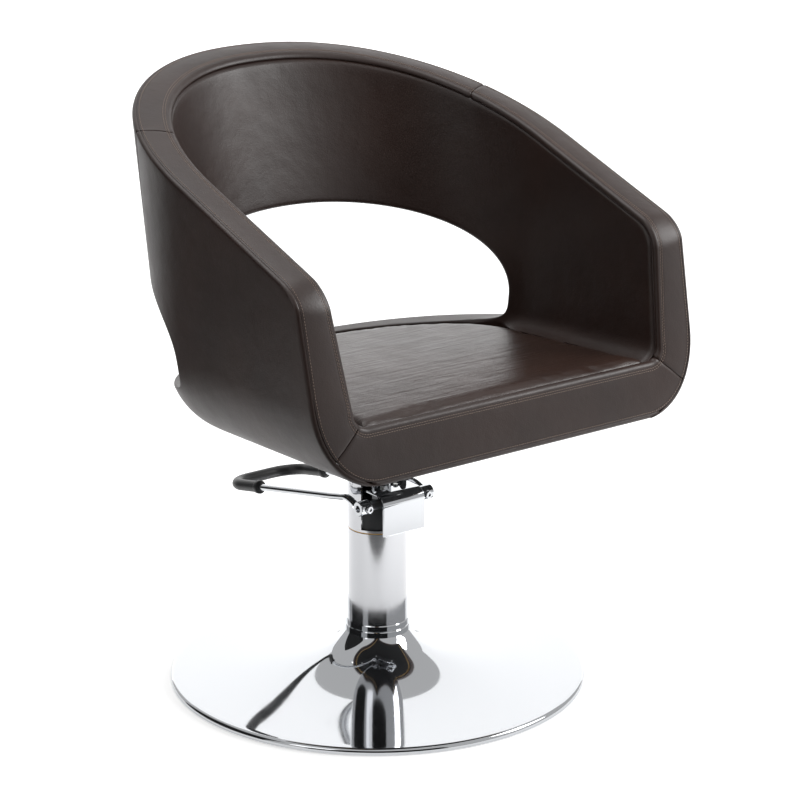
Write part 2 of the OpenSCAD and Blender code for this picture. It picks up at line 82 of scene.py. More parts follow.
# %% Floor, sky and lamps
def linear(colour):
    """An sRGB hex colour as linear red, green, blue and alpha."""
    parts = [int(colour[i:i + 2], 16) / 255 for i in (1, 3, 5)]
    return [p / 12.92 if p <= 0.04045 else ((p + 0.055) / 1.055) ** 2.4 for p in parts] + [1]


def node(tree, kind, links=None, **settings):
    """Adds one node. Names with a value set a socket or a property; links join sockets."""
    made = tree.nodes.new(kind)
    for name, value in settings.items():
        socket = made.inputs.get(name.replace("_", " ")) if name[0].isupper() else None
        if socket is not None:
            socket.default_value = value
        else:
            setattr(made, name, value)
    for name, source in (links or {}).items():
        tree.links.new(source, made.inputs[name])
    return made


def soft_box(name, place, aim, width, height, watts):
    """A rectangular lamp that points at a spot."""
    lamp = bpy.data.lights.new(name, "AREA")
    lamp.shape = "RECTANGLE"
    lamp.size = width
    lamp.size_y = height
    lamp.energy = watts
    holder = bpy.data.objects.new(name, lamp)
    holder.location = place
    holder.rotation_euler = (Vector(aim) - Vector(place)).to_track_quat("-Z", "Y").to_euler()
    bpy.context.scene.collection.objects.link(holder)


def sheet(name, stand, half_width, half_height, finish, colour, glow=0.0):
    """A flat matt sheet of the studio, stood by a matrix."""
    bm = bmesh.new()
    size = Matrix.Diagonal((half_width, half_height, 1, 1))
    bmesh.ops.create_grid(bm, x_segments=1, y_segments=1, size=1, matrix=stand @ size)
    mesh = bpy.data.meshes.new(name)
    bm.to_mesh(mesh)
    bm.free()
    made = bpy.data.objects.new(name, mesh)
    bpy.context.scene.collection.objects.link(made)
    coat = bpy.data.materials.new(finish)
    coat.use_nodes = True
    shader = coat.node_tree.nodes["Principled BSDF"]
    shader.inputs["Base Color"].default_value = linear(colour)
    shader.inputs["Roughness"].default_value = 0.9
    shader.inputs["Emission Color"].default_value = linear("#ffffff")
    shader.inputs["Emission Strength"].default_value = glow
    mesh.materials.append(coat)


def studio():
    """A white floor and backdrop, an even sky, dark cards and three soft boxes."""
    scene = bpy.context.scene
    scene.view_settings.view_transform = "Standard"
    sky = bpy.data.worlds.new("white_room")
    sky.use_nodes = True
    sky.node_tree.nodes.clear()
    glow = node(sky.node_tree, "ShaderNodeBackground", Color=linear("#ffffff"), Strength=0.62)
    node(sky.node_tree, "ShaderNodeOutputWorld", {"Surface": glow.outputs[0]})
    scene.world = sky

    sheet("floor", Matrix.Identity(4), 20, 20, "lit_white_vinyl", "#f4f4f4", 0.45)
    # Standing cards: bearing from the camera's right, distance, half sizes, colour and glow
    cards = {"card_near": (-90, 4.6, 3.4, 1.9, "#0c0c0d", 0.0),
             "card_left": (-178, 2.6, 1.5, 1.5, "#0c0c0d", 0.0),
             "backdrop": (90, 4.8, 3.6, 1.9, "#f4f4f4", 0.8)}
    for name, (bearing, away, half_width, half_height, colour, glow) in cards.items():
        way = math.radians(bearing + HEADING)
        stand = Matrix.Translation((away * math.cos(way), away * math.sin(way), half_height))
        turned = Matrix.Rotation(way + math.pi / 2, 4, "Z") @ Matrix.Rotation(math.pi / 2, 4, "X")
        sheet(name, stand @ turned, half_width, half_height, "matt_card", colour, glow)
    # Lying cards: a grey one in front, and a black one behind on the left
    way = math.radians(HEADING - 90)
    lying = Matrix.Translation((1.9 * math.cos(way), 1.9 * math.sin(way), 2 * MM))
    sheet("card_floor", lying @ Matrix.Rotation(way, 4, "Z"), 1.35, 1.8, "grey_card", "#707070")
    lying = Matrix.Translation((-1.25, 1.75, 2 * MM)) @ Matrix.Rotation(math.radians(65), 4, "Z")
    sheet("card_floor_left", lying, 0.6, 1.1, "black_card", "#161616")
    soft_box("right", (1.7, -1.2, 1.75), (-0.1, 0.2, 0.78), 1.1, 1.0, 32)
    soft_box("key_left", (-3.2, -0.9, 2.3), (0, 0, 0.5), 1.5, 1.5, 10)
    soft_box("top", (0.2, 0.5, 3.4), (0, 0, 0.4), 1.8, 1.8, 30)


studio()

# %% [markdown]
# ## Helpers for the pieces
# Most pieces here are skins: a flat grid whose points are moved to a rule, as a pattern cutter
# lays a flat hide over a form. The grid operator makes the faces, so that the rule only has to
# say where each point goes. Round parts are spun from half a section, as on a lathe.

# %% Skins, tubes, spun parts and finished pieces
def mix(a, b, t):
    return a + (b - a) * t


def ease(t):
    """0 to 1 with a soft start and a soft stop."""
    t = min(max(t, 0.0), 1.0)
    return t * t * (3 - 2 * t)


def power(value, exponent):
    return math.copysign(abs(value) ** exponent, value)


def skin(across, along, place):
    """A grid whose points are placed by a rule of two shares from 0 to 1."""
    bm = bmesh.new()
    bmesh.ops.create_grid(bm, x_segments=across, y_segments=along, size=0.5)
    for v in bm.verts:
        v.co = place(v.co.x + 0.5, v.co.y + 0.5)
    bmesh.ops.remove_doubles(bm, verts=bm.verts, dist=1e-6)
    return bm


def ruled(count, column):
    """A skin made of count + 1 columns of points. column gives the points of one."""
    columns = {}

    def place(a, b):
        i = round(a * count)
        if i not in columns:
            columns[i] = column(i)
        return columns[i][round(b * (len(columns[i]) - 1))]

    return skin(count, len(column(count // 2)) - 1, place)


def tube(path, radius, sides=28):
    """A round bar along a path. radius is a number, or a rule of the path's share."""
    span = len(path) - 1

    def place(a, b):
        i = round(a * span)
        way = (path[min(i + 1, span)] - path[max(i - 1, 0)]).normalized()
        side = way.cross(Vector((0, 0, 1)))
        side = side.normalized() if side.length > 0.01 else Vector((1, 0, 0))
        up = side.cross(way)
        r = radius(i / span) if callable(radius) else radius
        turn = math.tau * b
        return path[i] + (side * math.cos(turn) + up * math.sin(turn)) * r

    bm = skin(span, sides, place)
    bmesh.ops.holes_fill(bm, edges=bm.edges, sides=0)
    bmesh.ops.recalc_face_normals(bm, faces=bm.faces)
    return bm


def spun(profile, steps=160, axis=(0, 0, 1), centre=(0, 0, 0)):
    """A half section, given as (radius, height) points, turned full circle."""
    axis = Vector(axis)
    out = axis.orthogonal().normalized()
    bm = bmesh.new()
    points = [bm.verts.new(Vector(centre) + out * r + axis * h) for r, h in profile]
    edges = [bm.edges.new(pair) for pair in zip(points, points[1:])]
    bmesh.ops.spin(bm, geom=points + edges, cent=centre, axis=axis, angle=math.tau,
                   steps=steps, use_merge=True)
    bmesh.ops.remove_doubles(bm, verts=bm.verts, dist=1e-6)
    bmesh.ops.recalc_face_normals(bm, faces=bm.faces)
    return bm


def finished(name, bm, material, body, stands_for=(), sharp=35, wall=0):
    """Turns a bmesh into a piece of the chair that rides on a body."""
    mesh = bpy.data.meshes.new(name)
    bm.to_mesh(mesh)
    bm.free()
    mesh.shade_smooth()
    mesh.set_sharp_from_angle(angle=math.radians(sharp))
    piece = bpy.data.objects.new(name, mesh)
    bpy.context.scene.collection.objects.link(piece)
    mesh.materials.append(material)
    if wall:
        shell = piece.modifiers.new("hide", "SOLIDIFY")
        shell.thickness = wall
        shell.offset = -1
    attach(piece, body)
    if stands_for:
        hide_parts(*stands_for)
    print(f"{name}: {len(mesh.polygons)} faces")
    return piece


# %% [markdown]
# ## Metals and rubber
# Chrome plate is a mirror, so nearly all of its look is what it reflects: a low roughness with a
# very slight waviness from the polishing wheel. Steel, iron and zinc are duller and uneven.

# %% Metal, rubber and cloth finishes
def blank(name):
    """A material with its shader and a set of object coordinates."""
    made = bpy.data.materials.new(name)
    made.use_nodes = True
    tree = made.node_tree
    place = node(tree, "ShaderNodeTexCoord").outputs["Object"]
    return made, tree, tree.nodes["Principled BSDF"], place


def metal(name, colour, roughness, uneven, grain_mm, depth_mm, metallic=1.0):
    """A metal whose roughness and height vary with a fine noise of the given grain."""
    made, tree, shader, place = blank(name)
    noise = node(tree, "ShaderNodeTexNoise", {"Vector": place}, Scale=1000 / grain_mm, Detail=3.0)
    span = node(tree, "ShaderNodeMapRange", {"Value": noise.outputs["Fac"]})
    span.inputs["To Min"].default_value = max(0.01, roughness - uneven)
    span.inputs["To Max"].default_value = roughness + uneven
    bump = node(tree, "ShaderNodeBump", {"Height": noise.outputs["Fac"]}, Strength=1.0,
                Distance=depth_mm * MM)
    shader.inputs["Base Color"].default_value = linear(colour)
    shader.inputs["Metallic"].default_value = metallic
    tree.links.new(span.outputs[0], shader.inputs["Roughness"])
    tree.links.new(bump.outputs[0], shader.inputs["Normal"])
    return made


# Chrome plate over polished steel: a clear, slightly cool mirror
chrome = metal("chrome_plate", "#c9cbce", 0.045, 0.02, 22, 0.004)
# Chrome over drawn tube: the draw marks leave it a little softer
satin_chrome = metal("chrome_on_drawn_tube", "#c6c7ca", 0.11, 0.03, 6, 0.004)
# Turned steel: grey with visible machining
turned_steel = metal("turned_steel", "#a9abae", 0.32, 0.08, 1.2, 0.02)
# Zinc on fasteners: pale and cloudy
zinc_plate = metal("zinc_plate", "#c3c4c2", 0.38, 0.1, 1.5, 0.02)
# Bronze bushes: oiled and warm
oiled_bronze = metal("oiled_bronze", "#b08d57", 0.34, 0.08, 1.5, 0.02)
# Black paint over sand-cast iron: pebbled and dull
painted_iron = metal("black_painted_cast_iron", "#232427", 0.5, 0.1, 1.6, 0.12, 0.0)
# Powder coat over sheet steel: a fine orange peel
powder_coat = metal("black_powder_coat", "#1d1e20", 0.42, 0.06, 0.8, 0.05, 0.0)
# Moulded rubber: near black with a fine matt grain
moulded_rubber = metal("moulded_rubber", "#1b1b1c", 0.42, 0.08, 0.9, 0.05, 0.0)
# Non-woven dust cloth: felted fibres
dust_cloth = metal("non_woven_dust_cloth", "#1c1c1d", 0.9, 0.05, 0.7, 0.2, 0.0)
# Open-cell foam and birch plywood stay hidden inside, and still get their own finish
open_foam = metal("open_cell_foam", "#d8cfa6", 0.95, 0.04, 1.2, 0.4, 0.0)


def plywood():
    """Birch plywood: thin pale layers seen at the edge."""
    made, tree, shader, place = blank("birch_plywood")
    layers = node(tree, "ShaderNodeTexWave", {"Vector": place}, wave_type="BANDS",
                  bands_direction="Z", Scale=110.0, Distortion=0.6, Detail=2.0)
    shade = node(tree, "ShaderNodeValToRGB", {"Fac": layers.outputs["Fac"]})
    shade.color_ramp.elements[0].color = linear("#a98558")
    shade.color_ramp.elements[1].color = linear("#d9bd8c")
    tree.links.new(shade.outputs["Color"], shader.inputs["Base Color"])
    shader.inputs["Roughness"].default_value = 0.6
    return made


birch = plywood()

# %% [markdown]
# ## Leather
# The hide is a coated upholstery leather: dark chocolate, with a pebbled grain pressed into the
# coating and a soft gloss. The grain is a cell pattern about 1.6 mm across. Broad soft ripples
# break up the highlights, and the seat has long fine creases from being sat on.

# %% Leather finishes
GRAIN = 1.6 * MM             # width of a pebble of the grain


def leather(name, colour, dark, gloss, crease=0.0, crease_turn=0.0):
    """Coated hide. crease adds long fine creases, which run at crease_turn degrees from X."""
    made, tree, shader, place = blank(name)
    pebbles = node(tree, "ShaderNodeTexVoronoi", {"Vector": place}, feature="SMOOTH_F1",
                   Scale=1 / GRAIN, Smoothness=0.6)
    ripple = node(tree, "ShaderNodeTexNoise", {"Vector": place}, Scale=26.0, Detail=4.0)
    patch = node(tree, "ShaderNodeTexNoise", {"Vector": place}, Scale=9.0, Detail=3.0)
    shade = node(tree, "ShaderNodeValToRGB", {"Fac": patch.outputs["Fac"]})
    shade.color_ramp.elements[0].position = 0.3
    shade.color_ramp.elements[0].color = linear(dark)
    shade.color_ramp.elements[1].position = 0.7
    shade.color_ramp.elements[1].color = linear(colour)
    height = node(tree, "ShaderNodeMath", {0: pebbles.outputs["Distance"]}, operation="MULTIPLY")
    height.inputs[1].default_value = 0.1
    broad = node(tree, "ShaderNodeMath", {0: ripple.outputs["Fac"], 2: height.outputs[0]},
                 operation="MULTIPLY_ADD")
    broad.inputs[1].default_value = 1.0
    last = broad
    if crease:
        turned = node(tree, "ShaderNodeMapping", {"Vector": place})
        turned.inputs["Rotation"].default_value = (0, 0, math.radians(-crease_turn))
        turned.inputs["Scale"].default_value = (9, 95, 9)
        lines = node(tree, "ShaderNodeTexNoise", {"Vector": turned.outputs[0]}, Scale=1.0,
                     Detail=5.0, Roughness=0.6, Distortion=0.5)
        last = node(tree, "ShaderNodeMath", {0: lines.outputs["Fac"], 2: broad.outputs[0]},
                    operation="MULTIPLY_ADD")
        last.inputs[1].default_value = crease
    bump = node(tree, "ShaderNodeBump", {"Height": last.outputs[0]}, Strength=1.0,
                Distance=1.0 * MM)
    rough = node(tree, "ShaderNodeMapRange", {"Value": ripple.outputs["Fac"]})
    rough.inputs["To Min"].default_value = gloss - 0.05
    rough.inputs["To Max"].default_value = gloss + 0.07
    tree.links.new(shade.outputs["Color"], shader.inputs["Base Color"])
    tree.links.new(rough.outputs[0], shader.inputs["Roughness"])
    tree.links.new(bump.outputs[0], shader.inputs["Normal"])
    shader.inputs["IOR"].default_value = 1.5
    return made


hide = leather("coated_hide", "#301f19", "#271813", 0.42)
seat_hide = leather("coated_hide_on_seat", "#34221b", "#2b1b15", 0.34, 1.2, -52)
thread = metal("bonded_polyester_thread", "#8f7b6e", 0.6, 0.1, 0.4, 0.05, 0.0)

# %% [markdown]
# ## The shell's form
# The tub is a wall that leans out round the seat. Its plan is a rounded U, wider at the rim than at
# the seat, and the rim climbs towards the back. Any place in the wall has three numbers: c round
# the plan (0 at the middle of the back, 90 where the straight sides start, 150 at the front), s
# through the thickness (0 inside, 1 outside) and v up the wall (0 at the seat, 1 at the rim). Below
# 0, v follows the outside as it turns under, to -1 at the underside.
# Only the right half is worked out; the left is its mirror image.

# %% Sizes of the shell
arm_low, arm_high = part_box("arm_front_right")
AT_FRONT = 150               # c at the front
CENTRE_Y = -20 * MM          # centre of the rounded back
SEAT_W = arm_low.x           # half the seat's width
SEAT_D = 182 * MM            # seat's depth behind the centre
SEAT_Z = 486 * MM            # seat's height at its front edge
SEAT_FALL = 18 / 458         # fall of the seat for each unit towards the back
RIM_W = 280 * MM
RIM_D = 283 * MM
RIM_Z = arm_high.z           # rim's height at the front of the arms
RIM_RISE = 0.387
WALL_T = arm_high.x - RIM_W  # thickness of the padded wall
BELLY_W = 329 * MM
BELLY_D = 255 * MM
BELLY_Z = 525 * MM           # height of the outside's widest place, where it turns under
BELLY_TURN = 2.05            # how full the turn is: 2 is an ellipse
TAIL_D = 214 * MM            # depth of the tail below the opening
UNDER_W = 232 * MM
UNDER_D = 160 * MM
UNDER_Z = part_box("front_border")[0].z
FOOT = 63 * MM               # how far the inside runs down below the seat
FRONT_Y = -296 * MM          # front plane at the seat's height
LEAN = 0.2
HIDE_T = 1.4 * MM            # thickness of the hide
ROLL = 6 * MM                # radius of the rolled edges
COVE = 20 * MM               # radius where the wall meets the seat
CORNER = 30 * MM             # reach of the rounded corner of the arm
print("wall", round(WALL_T / MM, 1), "mm thick, rim at", round(RIM_Z / MM), "mm")


# %% The wall as a rule
def front_y(z):
    return FRONT_Y - (SEAT_Z - z) * LEAN


def plan(c, half, depth, bulge, front):
    if c > 90:
        return half, mix(CENTRE_Y, front, (c - 90) / (AT_FRONT - 90))
    a = math.radians(90 - c)
    return half * power(math.cos(a), 2 / bulge), CENTRE_Y + depth * power(math.sin(a), 2 / bulge)


def seat_z(y):
    return SEAT_Z - SEAT_FALL * (y - FRONT_Y)


def seat_ring(c):
    x, y = plan(c, SEAT_W, SEAT_D, 2.05, FRONT_Y)
    return Vector((x, y, seat_z(y)))


def rim_ring(c):
    x, y = plan(c, RIM_W, RIM_D, 2.2, front_y(RIM_Z))
    return Vector((x, y, RIM_Z + RIM_RISE * (y - front_y(RIM_Z))))


def outward(c):
    """The rim's outward direction in plan."""
    if c >= 90:
        return Vector((1, 0, 0))
    a = math.radians(90 - c)
    side = power(math.cos(a), 2.4 / 2.2) / RIM_W
    back = power(math.sin(a), 2.4 / 2.2) / RIM_D
    return Vector((side, back, 0)).normalized()


def rim_edge(c):
    out = outward(c)
    return rim_ring(c) + out * WALL_T + Vector((0, 0, RIM_RISE * WALL_T * out.y * 0.5))


def turn_z(turn):
    return BELLY_Z - (BELLY_Z - UNDER_Z) * power(math.sin(math.radians(90 * turn)), 2 / BELLY_TURN)


def belly(c, turn):
    """The outside's widest ring at turn 0, rounding under to the underside at turn 1."""
    out = power(math.cos(math.radians(90 * turn)), 2 / BELLY_TURN)
    z = turn_z(turn)
    depth = mix(UNDER_D, TAIL_D, out) + (BELLY_D - TAIL_D) * max(0.0, 1 - 3 * turn) ** 2
    x, y = plan(c, mix(UNDER_W, BELLY_W, out), depth, 2.2, front_y(z))
    return Vector((x, y, z))


def wall(c, s, v):
    if v < 0:
        foot = seat_ring(c) + Vector((0, 0, v * FOOT))
        if c > 90:
            foot.y = plan(c, 0, 0, 2, front_y(foot.z))[1]
        return foot.lerp(belly(c, min(-v, 1)), s)
    return seat_ring(c).lerp(rim_ring(c), v).lerp(belly(c, 0).lerp(rim_edge(c), v), s)


def level(c, s, z):
    """The v at which the wall has height z."""
    seat = seat_ring(c).z
    foot = mix(seat, BELLY_Z, s)
    if z >= foot:
        return (z - foot) / (mix(rim_ring(c).z, rim_edge(c).z, s) - foot)
    low, high = -1.0, 0.0
    for _ in range(18):
        v = (low + high) / 2
        if mix(seat + v * FOOT, turn_z(-v), s) < z:
            low = v
        else:
            high = v
    return v


def rise(c):
    """Height of the rim above the seat."""
    return rim_ring(c).z - seat_ring(c).z


def from_front(p, v):
    """The value of c that lies p behind the front plane."""
    run = CENTRE_Y - mix(FRONT_Y, front_y(RIM_Z), v)
    return AT_FRONT - (AT_FRONT - 90) * p / run


# %% [markdown]
# ## The opening through the back
# The lower back is open, so that cut hair falls through and the back can be reached. Its outline
# is half an ellipse over a flat base at the seat's height. A place on the outline is found by
# halving: the search walks round the wall until it looks along the right direction.

# %% The opening's outline
HOLE_HALF = 81               # degrees either side of the middle
HOLE_Z = 515 * MM            # height of its widest place
HOLE_TOP = 652 * MM
HOLE_BOTTOM = 468 * MM
HOLE_R = 268 * MM            # distance from the centre at which these sizes hold
FLARE = 57                   # degrees wider for each metre further out
FLARE_Z = -0.214             # how far the widest place sinks for each unit further out
HOLE_TUCK = 1.5 * MM         # how deep the hides' edges meet in the opening
RAYS = 150                   # columns of a panel's half, round the opening


def hole_aim(turn, r):
    """Direction and height of the outline at a distance r from the centre. turn is 90 at the
    top and -90 at the bottom."""
    a = math.radians(turn)
    middle = HOLE_Z + FLARE_Z * (r - HOLE_R)
    bulge, reach = (2.1, HOLE_TOP - middle) if turn >= 0 else (5, middle - HOLE_BOTTOM)
    return ((HOLE_HALF + FLARE * (r - HOLE_R)) * power(math.cos(a), 2 / bulge),
            middle + reach * power(math.sin(a), 2 / bulge))


def hole_at(turn, s):
    """Where the opening's outline crosses the wall at depth s."""
    low, high = 0.0, AT_FRONT
    r = HOLE_R
    for _ in range(22):
        c = (low + high) / 2
        for _ in range(2):
            heading, z = hole_aim(turn, r)
            v = level(c, s, z)
            p = wall(c, s, v)
            r = math.hypot(p.x, p.y - CENTRE_Y)
        if math.degrees(math.atan2(p.x, p.y - CENTRE_Y)) < heading:
            low = c
        else:
            high = c
    return c, v


# %% [markdown]
# ## A panel's grid
# The grid of a panel runs like rays from the opening to the panel's edge, so that both edges are
# clean. Going round from below the opening (-90) to above it (90), the panel's edge runs along
# the bottom, up the front, round the arm's corner and back along the rim.

# %% The edge of a panel
TURN_FORWARD = -45           # below this the edge lies straight under the opening
TURN_UP = -30                # from here the edge climbs the front
TURN_CORNER = 6              # from here it rounds the corner
TURN_RIM = 18                # from here it follows the rim


def corner_at(share, d):
    """The arm's rounded corner: c and v at a share of the bend, d in from the edge."""
    a = math.radians(90 * share)
    p = CORNER - (CORNER - d) * math.cos(a)
    q = CORNER - (CORNER - d) * math.sin(a)
    v = 1 - q / rise(AT_FRONT)
    return from_front(p, v), v


def panel_edge(turn, d, low, hole):
    """c and v on a panel's edge, d in from the wall's own edge. low is v along its bottom."""
    if turn <= TURN_FORWARD:
        return hole[0], low
    if turn <= TURN_UP:
        start = hole_at(TURN_FORWARD, 0)[0]
        return mix(start, from_front(d, low), (turn - TURN_FORWARD) / (TURN_UP - TURN_FORWARD)), low
    if turn <= TURN_CORNER:
        top = 1 - CORNER / rise(AT_FRONT)
        v = mix(low, top, (turn - TURN_UP) / (TURN_CORNER - TURN_UP))
        return from_front(d, v), v
    if turn <= TURN_RIM:
        return corner_at((turn - TURN_CORNER) / (TURN_RIM - TURN_CORNER), d)
    share = (turn - TURN_RIM) / (90 - TURN_RIM)
    c = from_front(CORNER, 1) * (1 - share)
    return c, 1 - d / rise(c)


def halves(bm):
    """Mirrors the right half to the left and welds the two along the middle."""
    for v in bm.verts:
        if abs(v.co.x) < 1e-5:
            v.co.x = 0
    geom = bm.verts[:] + bm.edges[:] + bm.faces[:]
    bmesh.ops.mirror(bm, geom=geom, axis="X", merge_dist=1e-5)
    bmesh.ops.remove_doubles(bm, verts=bm.verts, dist=1e-5)
    bmesh.ops.recalc_face_normals(bm, faces=bm.faces)
    return bm


def facing(bm, inward):
    """Turns a skin so that its faces look in at, or away from, the middle of the tub."""
    middle = Vector((0, -0.05, 0.6))
    score = sum(f.normal.dot(middle - f.calc_center_median()) * f.calc_area() for f in bm.faces)
    if (score > 0) != inward:
        bmesh.ops.reverse_faces(bm, faces=bm.faces)
    bm.normal_update()
    return bm


# %% [markdown]
# ## Seams
# Two panels are sewn with their right sides together and turned out, which leaves a narrow valley.
# Here a panel is cut by a plane, and a few extra cuts beside it let the edge sink.

# %% Cutting a panel at a seam
SEAM_RUN = 4 * MM
SEAM_DEEP = 1.6 * MM


def seam_cut(bm, at, away):
    """Keeps what lies on the side that away points to, and sinks the new edge."""
    at, away = Vector(at), Vector(away).normalized()
    for share in (1.0, 0.6, 0.3):
        geom = bm.verts[:] + bm.edges[:] + bm.faces[:]
        bmesh.ops.bisect_plane(bm, geom=geom, dist=1e-7, plane_co=at + away * SEAM_RUN * share,
                               plane_no=away)
    geom = bm.verts[:] + bm.edges[:] + bm.faces[:]
    bmesh.ops.bisect_plane(bm, geom=geom, dist=1e-7, plane_co=at, plane_no=away,
                           clear_inner=True)
    bm.normal_update()
    for v in bm.verts:
        gap = (v.co - at).dot(away)
        if gap < SEAM_RUN:
            v.co -= v.normal * SEAM_DEEP * (1 - gap / SEAM_RUN) ** 2
    return bm


# The cross seam lies where the back's panels meet the arms', the mitre at the front's corners
CROSS = (Vector((264, 109, 800)) * MM, Vector((-19, 39, 0)).normalized())   # to the back
MITRE = (Vector((262, -296, 486)) * MM, Vector((36, 0, 44)).normalized())   # to the arm


def flipped(vector):
    return Vector((-vector.x, vector.y, vector.z))


def on_left(seam):
    return tuple(flipped(v) for v in seam)


def other_side(seam):
    return seam[0], -seam[1]


# %% [markdown]
# ## Inner lining
# One hide covers the inside of the arms and back and wraps through the opening, so that its edge is
# soft. The foam under it gives a cove where the wall meets the seat.

# %% Lay the lining
LINING_INSET = 8.5 * MM      # the lining stops here, under the band
LINING_LOW = -0.35           # and here below the seat
LINING_LAST = 7 * MM         # and this far inside the outer face, in the opening


def thick_at(c, v):
    return (wall(c, 1, v) - wall(c, 0, v)).length


def coved(point, c):
    """Moves a point of the inside towards the middle where the wall meets the seat."""
    up = point.z - seat_z(point.y)
    if up >= COVE:
        return point
    amount = ease((c - 74) / 14)
    reach = COVE - math.sqrt(max(0.0, COVE ** 2 - (COVE - max(up, 0)) ** 2))
    return point - outward(c) * reach * amount


def lining_rows(turn):
    """The points of one ray, from the panel's edge to the outer end of the opening's jamb."""
    hole = hole_at(turn, 0)
    edge = panel_edge(turn, LINING_INSET, LINING_LOW, hole)
    radius = mix(3, 8, ease((turn + 60) / 50)) * MM
    thick = thick_at(*hole)
    length = (wall(edge[0], 0, edge[1]) - wall(hole[0], 0, hole[1])).length
    length = max(length, radius * 1.2)
    rows = []
    for k in range(27):
        t = k / 26 * (1 - radius / length)
        c, v = mix(edge[0], hole[0], t), mix(edge[1], hole[1], t)
        point = coved(wall(c, 0, v), c)
        if k == 0:
            point = point + outward(c) * HIDE_T
        rows.append(point)
    for k in range(1, 8):
        a = math.radians(90 * k / 7)
        s = radius * (1 - math.cos(a)) / thick
        end = hole_at(turn, s)
        t = 1 - radius * (1 - math.sin(a)) / length
        rows.append(wall(mix(edge[0], end[0], t), s, mix(edge[1], end[1], t)))
    last = 1 - LINING_LAST / thick
    for k in range(1, 7):
        s = mix(radius / thick, last, k / 6)
        end = hole_at(turn, s)
        rows.append(wall(end[0], s, end[1]))
    sunk = hole_at(turn, last + 0.5 * MM / thick)
    rows.append(wall(sunk[0], last, sunk[1]) + hole_tuck(turn) * HOLE_TUCK)
    return rows


def hole_tuck(turn):
    """The direction into the padding at the opening's edge."""
    a = math.radians(turn)
    heading = math.radians(hole_aim(turn, HOLE_R)[0])
    along = Vector((math.cos(heading), -math.sin(heading), 0))
    return (along * max(0, math.cos(a)) + Vector((0, 0, math.sin(a)))).normalized()


def rays(rows_of):
    """A panel's two halves: one column of points for each ray round the opening."""
    return halves(ruled(RAYS, lambda i: rows_of(-90 + 180 * i / RAYS)))


lining = facing(rays(lining_rows), inward=True)
finished("inner_lining_hide", lining, hide, "seat", ["inner_lining"], wall=HIDE_T)

# %% [markdown]
# ## Outer covers
# Outside, four panels wrap the shell: one on each arm, one over the back and one below the opening.
# They fold over the edge to meet the border band, and turn under to the dust cloth.

# %% Lay the outside and cut it into panels
HEM = [(7.2, 1.6), (6.7, 0.5)]      # the sunk hem in mm: inset from the outer face, depth
UNDER_RUN = 150 * MM         # length of the outside for each unit of v at the underside
COVER_SOFT = 5 * MM          # radius at the opening's outer edge
COVER_LAST = 6.4 * MM        # where the cover ends inside the opening


def cover_rows(turn):
    """One ray of the outside, from the seam beside the band to the opening."""
    hole = hole_at(turn, 1)
    spread = [(inset * MM, d * MM) for inset, d in HEM]
    for k in range(7):
        a = math.radians(15 * k)
        spread.append((ROLL * (1 - math.sin(a)), ROLL * (1 - math.cos(a))))
    rows = []
    for inset, d in spread:
        c, v = panel_edge(turn, d, -1 + d / UNDER_RUN, hole)
        rows.append(wall(c, 1 - inset / thick_at(c, v), v))
    start = panel_edge(turn, ROLL, -1 + ROLL / UNDER_RUN, hole)
    radius = COVER_SOFT
    length = (wall(start[0], 1, start[1]) - wall(hole[0], 1, hole[1])).length
    for k in range(1, 25):
        t = k / 24 * (1 - radius / length)
        rows.append(wall(mix(start[0], hole[0], t), 1, mix(start[1], hole[1], t)))
    thick = thick_at(*hole)
    for k in range(1, 7):
        a = math.radians(15 * k)
        s = 1 - radius * (1 - math.cos(a)) / thick
        end = hole_at(turn, s)
        t = 1 - radius * (1 - math.sin(a)) / length
        rows.append(wall(mix(start[0], end[0], t), s, mix(start[1], end[1], t)))
    last = 1 - COVER_LAST / thick
    end = hole_at(turn, last)
    rows.append(wall(end[0], last, end[1]) + hole_tuck(turn) * HOLE_TUCK)
    return rows


outside = facing(rays(cover_rows), inward=False)
UNDER_SPLIT = (Vector((0, 0, HOLE_Z)), Vector((0, 0, 1)))
rear = [CROSS, on_left(CROSS)]
panels = {
    "outer_hide_right": ([other_side(CROSS)], 1, "outer_cover_right"),
    "outer_hide_left": ([other_side(on_left(CROSS))], -1, "outer_cover_left"),
    "outer_hide_back": (rear + [UNDER_SPLIT], 0, "outer_cover_back"),
    "outer_hide_tail": (rear + [other_side(UNDER_SPLIT)], 0, "outer_cover_tail"),
}
for name, (cuts, side, cad_node) in panels.items():
    panel = outside.copy()
    if side:
        geom = panel.verts[:] + panel.edges[:] + panel.faces[:]
        bmesh.ops.bisect_plane(panel, geom=geom, dist=1e-7, plane_co=(0, 0, 0),
                               plane_no=(side, 0, 0), clear_inner=True)
    for at, away in cuts:
        seam_cut(panel, at, away)
    finished(name, panel, hide, "seat", [cad_node], wall=HIDE_T)
outside.free()

# %% [markdown]
# ## Border band
# A padded band runs right round the edge: over the back, along the arms, down their fronts and
# across the front of the seat. Its section rolls over the inner corner, crowns a little, and dips
# to a seam just short of the outer corner. Two rows of stitches follow the inner seam and one the
# outer.

